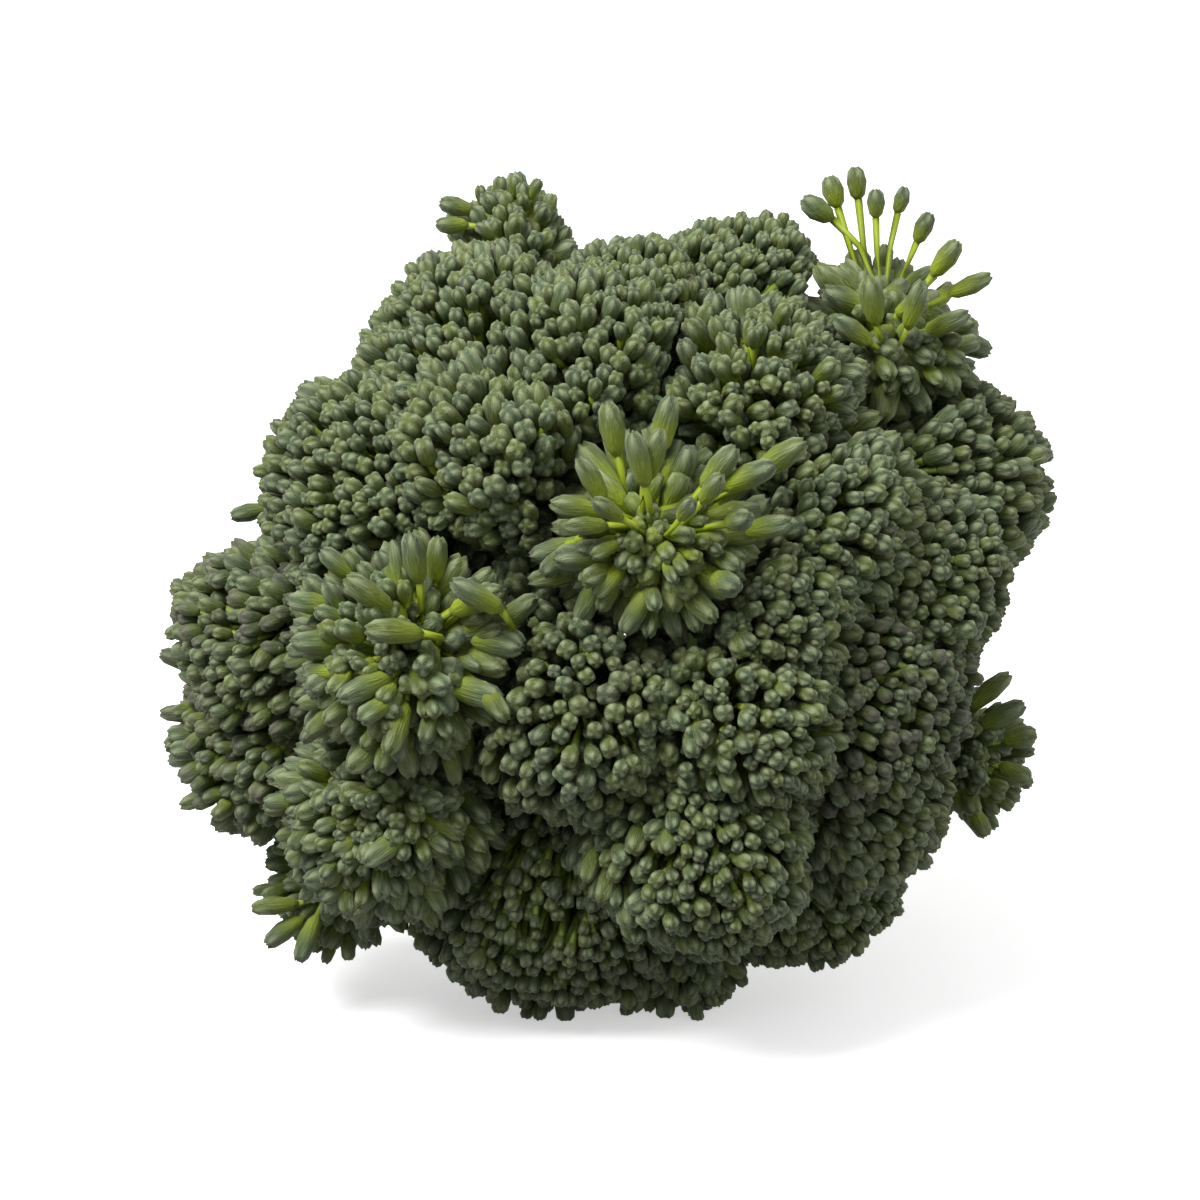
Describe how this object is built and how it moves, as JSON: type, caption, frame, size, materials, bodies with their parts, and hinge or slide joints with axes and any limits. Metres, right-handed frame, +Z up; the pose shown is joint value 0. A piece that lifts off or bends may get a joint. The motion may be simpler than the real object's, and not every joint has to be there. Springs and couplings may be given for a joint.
{
  "type": "bunch of broccolini",
  "caption": "Tied bunch of broccolini lying on its side: flower clusters pressed into a dome, forked stems, small leaves and a rubber band.",
  "frame": {"origin": "middle of the underside, on the surface that the bunch lies on", "axes": "+Z up, +Y along the ground from the flowers to the cut ends, +X to the right seen from the flowers' side"},
  "size_m": [0.1352, 0.2006, 0.1223],
  "materials": {
    "floret": "waxy blue-green flower buds, yellow-green at their bases",
    "stem": "smooth pale green skin with a waxy bloom",
    "leaf": "satin blue-green leaf with paler veins",
    "band": "plain matt rubber"
  },
  "bodies": {
    "root": {"stem_01": "stem", "floret_01a": "floret", "floret_01b": "floret", "stem_02": "stem", "floret_02a": "floret", "stem_03": "stem", "floret_03a": "floret", "floret_03b": "floret", "stem_04": "stem", "floret_04a": "floret", "floret_04b": "floret", "stem_05": "stem", "floret_05a": "floret", "stem_06": "stem", "floret_06a": "floret", "floret_06b": "floret", "stem_07": "stem", "floret_07a": "floret", "stem_08": "stem", "floret_08a": "floret", "floret_08b": "floret", "stem_09": "stem", "floret_09a": "floret", "floret_09b": "floret", "stem_10": "stem", "floret_10a": "floret", "floret_10b": "floret", "stem_11": "stem", "floret_11a": "floret", "floret_11b": "floret", "stem_12": "stem", "floret_12a": "floret", "floret_12b": "floret", "stem_13": "stem", "floret_13a": "floret", "floret_13b": "floret", "stem_14": "stem", "floret_14a": "floret", "floret_14b": "floret", "stem_15": "stem", "floret_15a": "floret", "floret_15b": "floret", "floret_15c": "floret", "leaf_01": "leaf", "leaf_02": "leaf", "leaf_03": "leaf", "leaf_04": "leaf", "leaf_05": "leaf", "leaf_06": "leaf", "rubber_band": "band"}
  },
  "joints": []
}
